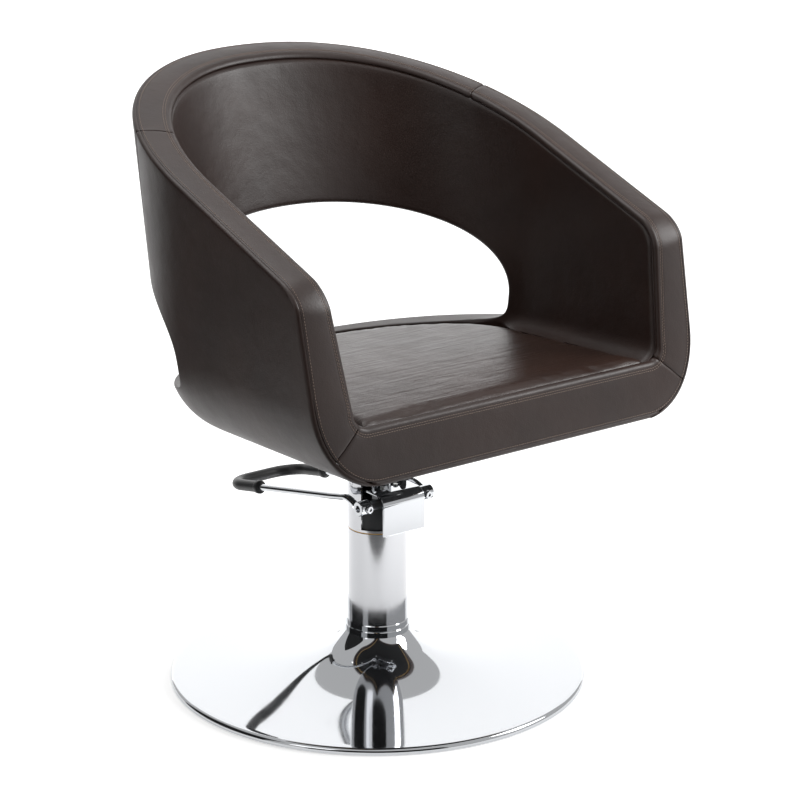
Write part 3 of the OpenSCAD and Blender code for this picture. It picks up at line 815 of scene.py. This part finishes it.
# %% The band's course
def band_station(t):
    """A rule for one place along the half band, t from 0 at the back to 5 at the front.
    The rule gives the point at share s across it and depth d into the padding."""
    stage, share = min(int(t), 4), t - min(int(t), 4)
    if stage == 0:
        c = from_front(CORNER, 1) * share
        return lambda s, d: wall(c, s, 1 - d / rise(c))
    if stage == 1:
        def rounded(s, d):
            c, v = corner_at(1 - share, d)
            return wall(c, s, v)
        return rounded
    foot = COVE / rise(AT_FRONT)
    if stage == 2:
        v = mix(1 - CORNER / rise(AT_FRONT), foot, share)
        return lambda s, d: wall(AT_FRONT, s, v) + Vector((0, d, 0))
    if stage == 3:
        a = math.radians(90 * share)
        inner = wall(AT_FRONT, 0, foot) - Vector((COVE * (1 - math.cos(a)), 0, COVE * math.sin(a)))
        inner.z = max(inner.z, SEAT_Z)
        inner.y = front_y(inner.z)
        outer = wall(AT_FRONT, 1, mix(foot, -1, share))
        return lambda s, d: inner.lerp(outer, s) + Vector((0, d, 0))
    inner = Vector((mix(SEAT_W - COVE, 0, share), FRONT_Y, SEAT_Z))
    outer = Vector((mix(UNDER_W, 0, share), front_y(UNDER_Z), UNDER_Z))
    return lambda s, d: inner.lerp(outer, s) + Vector((0, d, 0))


STAGES = [96, 12, 30, 14, 40]       # points on the rim, arm's corner, arm's front, corner, front
CROWN = 1.6 * MM             # how far the band bulges
BAND_SHORT = 7 * MM          # how far the band stops short of the outer corner
ROW_1 = 2.2 * MM             # the stitched rows, from the end of the inner roll
ROW_2 = 5.2 * MM


def band_section(width):
    """The band's section as (inset from the inner edge, depth) points."""
    points = [(1.2 * MM, 8.8 * MM), (0.4 * MM, 8.2 * MM), (0, 7.4 * MM)]
    for k in range(9):
        a = math.radians(90 * k / 8)
        points.append((ROLL * (1 - math.cos(a)), ROLL * (1 - math.sin(a))))
    flat = width - BAND_SHORT - ROLL
    for k in range(1, 19):
        across = k / 19
        groove = sum(math.exp(-((flat * across - row) / (0.9 * MM)) ** 2)
                     for row in (ROW_1, ROW_2)) * 0.45 * MM
        points.append((ROLL + flat * across, -CROWN * math.sin(math.pi * across) ** 0.8 + groove))
    end = width - BAND_SHORT
    return points + [(end, 0.2 * MM), (end + 0.3 * MM, 0.8 * MM), (end + 0.4 * MM, 1.8 * MM)]


def course(share):
    """Turns an even share of the half band's points into its stage and place."""
    k = share * sum(STAGES)
    for stage, count in enumerate(STAGES):
        if k <= count or stage == 4:
            return stage + k / count
        k -= count


def band_column(i):
    rule = band_station(course(i / sum(STAGES)))
    width = (rule(1, 0) - rule(0, 0)).length
    return [rule(x / width, d) for x, d in band_section(width)]


band = halves(ruled(sum(STAGES), band_column))
front_face = min(band.faces, key=lambda f: f.calc_center_median().y)
if front_face.normal.y > 0:
    bmesh.ops.reverse_faces(band, faces=band.faces)
bands = {
    "rim_band_back": (rear, ["rim_border_back"]),
    "arm_band_right": ([other_side(CROSS), MITRE], ["rim_border_right", "arm_front_right"]),
    "arm_band_left": ([other_side(on_left(CROSS)), on_left(MITRE)],
                      ["rim_border_left", "arm_front_left"]),
    "front_band": ([other_side(MITRE), other_side(on_left(MITRE))], ["front_border"]),
}
for name, (cuts, nodes) in bands.items():
    strip = band.copy()
    for at, away in cuts:
        seam_cut(strip, at, away)
    finished(name, strip, hide, "seat", nodes, wall=HIDE_T)
band.free()

# %% [markdown]
# ## Lip under the front
# The outer cover's hide also folds round the front's lower edge, from the band's seam to the dust
# cloth. It is a separate strip that runs a little way up round each corner.

# %% Fold the lip
LIP_HALF = 250 * MM          # half its length
LIP_COLUMNS = 60
lip = list(HEM)              # height above the lower edge and depth behind the front, in mm
for k in range(9):
    a = math.radians(90 * k / 8)
    lip.append((6 - 6 * math.sin(a), 6 - 6 * math.cos(a)))
lip += [(0.0, 12.0), (0.0, 26.0)]


def lip_column(i):
    x = mix(-LIP_HALF, LIP_HALF, i / LIP_COLUMNS)
    past = max(0.0, abs(x) - UNDER_W) / (BELLY_W - UNDER_W)
    low = BELLY_Z - (BELLY_Z - UNDER_Z) * (1 - past ** BELLY_TURN) ** (1 / BELLY_TURN)
    return [Vector((x, front_y(low + up * MM) + back * MM, low + up * MM)) for up, back in lip]


lip_skin = facing(ruled(LIP_COLUMNS, lip_column), inward=False)
finished("front_lip", lip_skin, hide, "seat", wall=HIDE_T)

# %% [markdown]
# ## Stitches
# Topstitching is real geometry: each stitch is a small bead of thread lying along the seam, made by
# the sphere operator and stretched by its matrix. There are hundreds, so each has few faces.

# %% Sew the stitches
STITCH = 4 * MM              # from one stitch to the next
STITCH_HALF = 1.55 * MM      # half a stitch's length
THREAD_R = 0.42 * MM


def even(path, step):
    """Points spaced evenly along a path, with the direction at each."""
    spots, left = [], step / 2
    for a, b in zip(path, path[1:]):
        length = (b - a).length
        while left < length:
            spots.append((a.lerp(b, left / length), (b - a) / length))
            left += step
        left -= length
    return spots


def join_in(bm, part):
    """Moves a small bmesh into a bigger one."""
    spare = bpy.data.meshes.new("spare")
    part.to_mesh(spare)
    part.free()
    bm.from_mesh(spare)
    bpy.data.meshes.remove(spare)


def sew(bm, path):
    """Lays stitches along a path, and along its mirror image, a few dozen at a time."""
    spots = even(path, STITCH)
    for first in range(0, len(spots), 24):
        few = bmesh.new()
        for spot, way in spots[first:first + 24]:
            for side in (1, -1):
                flip = Vector((side, 1, 1))
                turn = (way * flip).to_track_quat("X", "Z").to_matrix().to_4x4()
                size = Matrix.Diagonal((STITCH_HALF, THREAD_R, THREAD_R, 1))
                at = Matrix.Translation(spot * flip)
                bmesh.ops.create_uvsphere(few, u_segments=6, v_segments=4, radius=1,
                                          matrix=at @ turn @ size)
        join_in(bm, few)
    return bm


def band_line(inset, lift):
    """A line along the band, lifted a little, a fixed inset from its inner edge, or from its
    outer edge when the inset is negative."""
    line = []
    for k in range(sum(STAGES) * 2 + 1):
        rule = band_station(course(k / (sum(STAGES) * 2)))
        width = (rule(1, 0) - rule(0, 0)).length
        x = inset if inset > 0 else width + inset
        line.append(rule(x / width, -lift))
    return line


stitching = bmesh.new()
for inset, lift in ((ROLL + ROW_1, 0.3), (ROLL + ROW_2, 0.7), (-10 * MM, 0.9)):
    sew(stitching, band_line(inset, lift * MM))
finished("topstitching", stitching, thread, "seat")

# %% [markdown]
# ## Seat pad
# The seat is a foam pad in a sewn cover. It starts a little small, is given even voxels, and cloth
# pressure swells it until its top crowns and its edges pull in. The movement is capped, so that
# the pad stays in its place between the arms.

# %% Form the pad and let it swell
PAD_INSET = 12 * MM
PAD_ROUND = 9 * MM
PAD_SWELL = 5 * MM           # the most that the pad may move
VOXEL = 5 * MM
pad_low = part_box("seat_foam")[0]


def pad_place(a, b):
    """Half the pad's skin: a runs round the plan from back to front middle, b from the middle of
    the top out, over the rounded edge and down the side."""
    c = a * 190
    front = FRONT_Y + 8 * MM
    if c <= AT_FRONT:
        x, y = plan(c, SEAT_W - PAD_INSET, SEAT_D - 6 * MM, 2.05, front)
    else:
        x, y = (SEAT_W - PAD_INSET) * (190 - c) / (190 - AT_FRONT), front
    middle = Vector((0, CENTRE_Y - 50 * MM, 0))
    reach = Vector((x, y, 0)) - middle
    length = reach.length
    if b < 0.7:
        share = b / 0.7
        spot = middle + reach * share * (1 - PAD_ROUND / length)
        spot.z = seat_z(spot.y)
        return spot
    bend = (b - 0.7) / 0.2
    if bend <= 1:
        turn = math.radians(90 * bend)
        spot = middle + reach * (1 - PAD_ROUND * (1 - math.sin(turn)) / length)
        spot.z = seat_z(spot.y) - PAD_ROUND * (1 - math.cos(turn))
        return spot
    spot = middle + reach
    spot.z = mix(seat_z(spot.y) - PAD_ROUND, pad_low.z, (b - 0.9) / 0.1)
    return spot


def swell(piece, cap):
    """Voxel remesh, then cloth pressure for twenty frames, with the movement capped."""
    remesh = piece.modifiers.new("voxels", "REMESH")
    remesh.mode = "VOXEL"
    remesh.voxel_size = VOXEL
    remesh.use_smooth_shade = True
    graph = bpy.context.evaluated_depsgraph_get()
    piece.data = bpy.data.meshes.new_from_object(piece.evaluated_get(graph))
    piece.modifiers.clear()
    before = [v.co.copy() for v in piece.data.vertices]
    cloth = piece.modifiers.new("cloth", "CLOTH")
    cloth.settings.use_pressure = True
    cloth.settings.uniform_pressure_force = 4
    cloth.settings.effector_weights.gravity = 0
    cloth.settings.quality = 4
    scene = bpy.context.scene
    scene.frame_start, scene.frame_end = 1, 20
    for step in range(1, 21):
        scene.frame_set(step)
    graph = bpy.context.evaluated_depsgraph_get()
    swollen = bpy.data.meshes.new_from_object(piece.evaluated_get(graph))
    piece.modifiers.clear()
    for old, new in zip(before, swollen.vertices):
        move = new.co - old
        if move.length > cap:
            new.co = old + move * (cap / move.length)
    piece.data = swollen
    scene.frame_set(1)


pad_skin = skin(76, 40, pad_place)
halves(pad_skin)
bmesh.ops.holes_fill(pad_skin, edges=pad_skin.edges, sides=0)
bmesh.ops.recalc_face_normals(pad_skin, faces=pad_skin.faces)
pad = finished("seat_pad", pad_skin, seat_hide, "seat", ["seat_cover", "seat_foam"])
swell(pad, PAD_SWELL)
pad.data.materials.clear()
pad.data.materials.append(seat_hide)
pad.data.shade_smooth()
finer = pad.modifiers.new("finer", "SUBSURF")
finer.levels = finer.render_levels = 1
print("seat pad", len(pad.data.vertices), "points")

# %% [markdown]
# ## Base and column
# The base cover is a spun chrome trumpet: its height falls as one over the radius, out to a rolled
# edge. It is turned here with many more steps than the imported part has, because a mirror shows
# every flat.

# %% Turn the base, the collar and the column
cover_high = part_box("base_cover")[1]
NECK_R = 46 * MM
EDGE_ROLL = 6 * MM


def base_profile():
    edge = cover_high.x - EDGE_ROLL
    fall = (cover_high.z - 9.5 * MM) / (1 / NECK_R - 1 / cover_high.x)
    level = 9.5 * MM - fall / cover_high.x
    points = []
    for k in range(61):
        r = NECK_R * (edge / NECK_R) ** (k / 60)
        points.append((r, fall / r + level))
    top = points[-1][1]
    for k in range(1, 9):
        a = math.radians(90 - 90 * k / 8)
        points.append((edge + EDGE_ROLL * math.cos(a), top - EDGE_ROLL * (1 - math.sin(a))))
    under = [(cover_high.x, 1 * MM), (cover_high.x - 1.6 * MM, 1 * MM),
             (cover_high.x - 2.2 * MM, 5 * MM)]
    inner = [(r, z - 1.5 * MM) for r, z in points[60::-6]]
    ring = points + under + inner
    return ring + [ring[0]]


finished("base_trumpet", spun(base_profile(), 256), chrome, "base", ["base_cover"], 30)

tube_low, tube_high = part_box("lower_tube")
TUBE_R = tube_high.x
TUBE_IN = TUBE_R - 3 * MM
EASED = 0.5 * MM
column = [(TUBE_IN, tube_low.z), (TUBE_R, tube_low.z), (TUBE_R, tube_high.z - EASED),
          (TUBE_R - EASED, tube_high.z), (TUBE_IN, tube_high.z), (TUBE_IN, tube_low.z)]
finished("column_tube", spun(column), satin_chrome, "base", ["lower_tube"], 30)

collar_low, collar_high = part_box("column_collar")
COLLAR_R = collar_high.x
collar = [(TUBE_R, collar_low.z), (COLLAR_R, collar_low.z), (COLLAR_R, 75.0 * MM),
          (COLLAR_R - 0.7 * MM, 76 * MM), (COLLAR_R - 1.8 * MM, 76.3 * MM),
          (COLLAR_R - 1.8 * MM, 83.8 * MM), (COLLAR_R - 2.6 * MM, collar_high.z),
          (TUBE_R, collar_high.z), (TUBE_R, collar_low.z)]
finished("collar_ring", spun(collar), chrome, "base", ["column_collar"], 30)

# %% [markdown]
# ## Pump lever
# The lever is one bent bar, looped round the back, with a moulded rubber grip on its cross bar. Its
# ends are welded into two hubs on the pivot shaft. Each hub holds on with a screw in front.

# %% Bend the lever and press on the hubs
shaft_low, shaft_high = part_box("pivot_shaft")
PIVOT = (shaft_low + shaft_high) / 2
ARM_X = 60 * MM              # half the distance between the lever's arms
BAR_R = 5 * MM
REACH = 286 * MM             # how far the cross bar lies behind the column's axis
BEND_Y = -4 * MM             # where the arms bend down
BEND_Z = 278.5 * MM
SLOPE = 0.187                # fall of the arms for each unit towards the back
BEND_R = 38 * MM             # radius of the corners


def smooth_path(points):
    """A flowing line through the points, each span a Catmull-Rom curve."""
    line, per_span = [], 6
    for i in range(len(points) - 1):
        p = [points[max(i - 1, 0)], points[i], points[i + 1], points[min(i + 2, len(points) - 1)]]
        for k in range(per_span):
            t = k / per_span
            line.append(0.5 * (2 * p[1] + (p[2] - p[0]) * t
                               + (2 * p[0] - 5 * p[1] + 4 * p[2] - p[3]) * t ** 2
                               + (3 * p[1] - p[0] - 3 * p[2] + p[3]) * t ** 3))
    return line + [points[-1]]


def on_slope(x, y):
    return Vector((x, y, BEND_Z - SLOPE * (y - BEND_Y)))


def loop_half(from_y=None):
    """Half of the lever's course, from the hub, or from a place on the slope."""
    if from_y is None:
        hub = [(-28.2, 272.6), (-22, 275.6), (-14, 278.2), (-4, 279.2), (7, 276.9)]
        start = [Vector((ARM_X / MM, y, z)) * MM for y, z in hub]
        start = smooth_path(start + [on_slope(ARM_X, 30 * MM)])
    else:
        start = [on_slope(ARM_X, from_y)]
    first = start[-1].y
    corner_y = REACH - BEND_R
    run = [on_slope(ARM_X, mix(first, corner_y, k / 20)) for k in range(1, 20)]
    bend = [on_slope(ARM_X - BEND_R + BEND_R * math.cos(math.radians(a)),
                     corner_y + BEND_R * math.sin(math.radians(a))) for a in range(0, 91, 6)]
    return start + run + bend


def loop(from_y=None):
    half = loop_half(from_y)
    return half + [flipped(p) for p in reversed(half)]


finished("lever_rod", tube(loop(), BAR_R), chrome, "lever", ["lever_bar"], 40)

GRIP_R = 8.4 * MM
CUFF_R = 10 * MM
grip_path = loop(200 * MM)


def grip_radius(path):
    """A thicker cuff for 8 mm at each end, with rounded lips."""
    run, places = 0.0, [0.0]
    for a, b in zip(path, path[1:]):
        run += (b - a).length
        places.append(run)

    def radius(share):
        here = places[round(share * (len(path) - 1))]
        near = min(here, run - here)
        lip = ease(near / (1.5 * MM))
        cuff = 1 - ease((near - 7.5 * MM) / (2 * MM))
        return mix(BAR_R + 0.6 * MM, mix(GRIP_R, CUFF_R, cuff), lip)
    return radius


def dense(path, step):
    spots = [p for p, _ in even(path, step)]
    return [path[0]] + spots + [path[-1]]


grip_line = dense(grip_path, 1.2 * MM)
finished("grip_sleeve", tube(grip_line, grip_radius(grip_line)), moulded_rubber, "lever",
         ["lever_grip"], 50)

HUB_R = 10.5 * MM
HUB_EASED = 0.9 * MM
for side, name in ((1, "right"), (-1, "left")):
    hub_low, hub_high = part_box("lever_hub_" + name)
    inner, outer = sorted((abs(hub_low.x), abs(hub_high.x)))
    profile = [(7.1 * MM, inner), (HUB_R - HUB_EASED, inner), (HUB_R, inner + HUB_EASED),
               (HUB_R, outer - HUB_EASED), (HUB_R - HUB_EASED, outer), (5.2 * MM, outer),
               (4.5 * MM, outer - 0.7 * MM), (4.5 * MM, outer - 6 * MM), (0, outer - 6 * MM)]
    profile = [(r, h * side) for r, h in profile]
    hub = spun(profile, 64, (1, 0, 0), (0, PIVOT.y, PIVOT.z))
    finished("hub_barrel_" + name, hub, chrome, "lever", ["lever_hub_" + name], 30)

SCREW_X = 53 * MM
HEAD_R = 6.2 * MM
face_y = PIVOT.y - HUB_R


def screw_profile():
    """A pan head with a hexagon-sized recess, as (radius, distance in front of the hub)."""
    rim = [(3 * MM, -3 * MM), (3 * MM, -0.4 * MM), (HEAD_R, -0.4 * MM), (HEAD_R, 1.6 * MM)]
    dome = [(HEAD_R - 1.9 * MM * (1 - math.cos(math.radians(a))),
             1.6 * MM + 2.0 * MM * math.sin(math.radians(a))) for a in range(15, 91, 15)]
    return rim + dome + [(2.6 * MM, 3.5 * MM), (2.4 * MM, 1.6 * MM), (0, 1.6 * MM)]


heads = bmesh.new()
for x in (-SCREW_X, SCREW_X):
    join_in(heads, spun(screw_profile(), 32, (0, -1, 0), (x, face_y, PIVOT.z)))
finished("hub_screw_heads", heads, chrome, "lever", ["hub_screws"], 30)

# %% [markdown]
# ## Pump cover
# A chromed plate is folded over the pump head: its front hangs down and its top runs back to the
# sleeve. The fold is drawn once as a side view and pushed out sideways, then its edges are eased.

# %% Fold the cover plate
plate_low, plate_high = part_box("cover_plate")
PLATE_T = 2.5 * MM
FOLD_R = 16 * MM


def plate_outline():
    front, top = plate_low.y, plate_high.z
    outer = [(front, plate_low.z)]
    inner = [(front + PLATE_T, plate_low.z)]
    for k in range(13):
        a = math.radians(180 - 7.5 * k)
        y, z = front + FOLD_R, top - FOLD_R
        outer.append((y + FOLD_R * math.cos(a), z + FOLD_R * math.sin(a)))
        inner.append((y + (FOLD_R - PLATE_T) * math.cos(a), z + (FOLD_R - PLATE_T) * math.sin(a)))
    outer.append((plate_high.y, top))
    inner.append((plate_high.y, top - PLATE_T))
    return outer + inner[::-1]


bm = bmesh.new()
side_face = bm.faces.new([bm.verts.new((plate_low.x, y, z)) for y, z in plate_outline()])
pushed = bmesh.ops.extrude_face_region(bm, geom=[side_face])
moved = [v for v in pushed["geom"] if isinstance(v, bmesh.types.BMVert)]
bmesh.ops.translate(bm, verts=moved, vec=(plate_high.x - plate_low.x, 0, 0))
bmesh.ops.recalc_face_normals(bm, faces=bm.faces)
sharp = [e for e in bm.edges if e.calc_face_angle(0) > math.radians(60)]
bmesh.ops.bevel(bm, geom=sharp, offset=0.6 * MM, segments=3, profile=0.5, affect="EDGES",
                material=-1)
finished("folded_cover", bm, chrome, "head", ["cover_plate"], 30)

# %% [markdown]
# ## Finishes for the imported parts
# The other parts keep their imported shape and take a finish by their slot. Their meshes are loose
# triangles, so a weld and an edge split give smooth round faces without changing the mesh.

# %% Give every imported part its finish
FINISH = {
    "chrome": chrome, "steel": turned_steel, "zinc": zinc_plate, "black_steel": powder_coat,
    "cast_iron": painted_iron, "bronze": oiled_bronze, "rubber": moulded_rubber,
    "leather": hide, "foam": open_foam, "plywood": birch, "lining_cloth": dust_cloth,
}
slots = {part["node"]: part["material_slot"] for part in frame["record"]["subparts"]}
for name, part in frame["nodes"].items():
    finish = satin_chrome if name == "head_sleeve" else FINISH[slots[name]]
    part.data.materials.clear()
    part.data.materials.append(finish)
    part.data.polygons.foreach_set("use_smooth", [True] * len(part.data.polygons))
    weld = part.modifiers.new("weld", "WELD")
    weld.merge_threshold = 0.01 * MM
    split = part.modifiers.new("split", "EDGE_SPLIT")
    split.split_angle = math.radians(32)
print("finishes", len(FINISH))
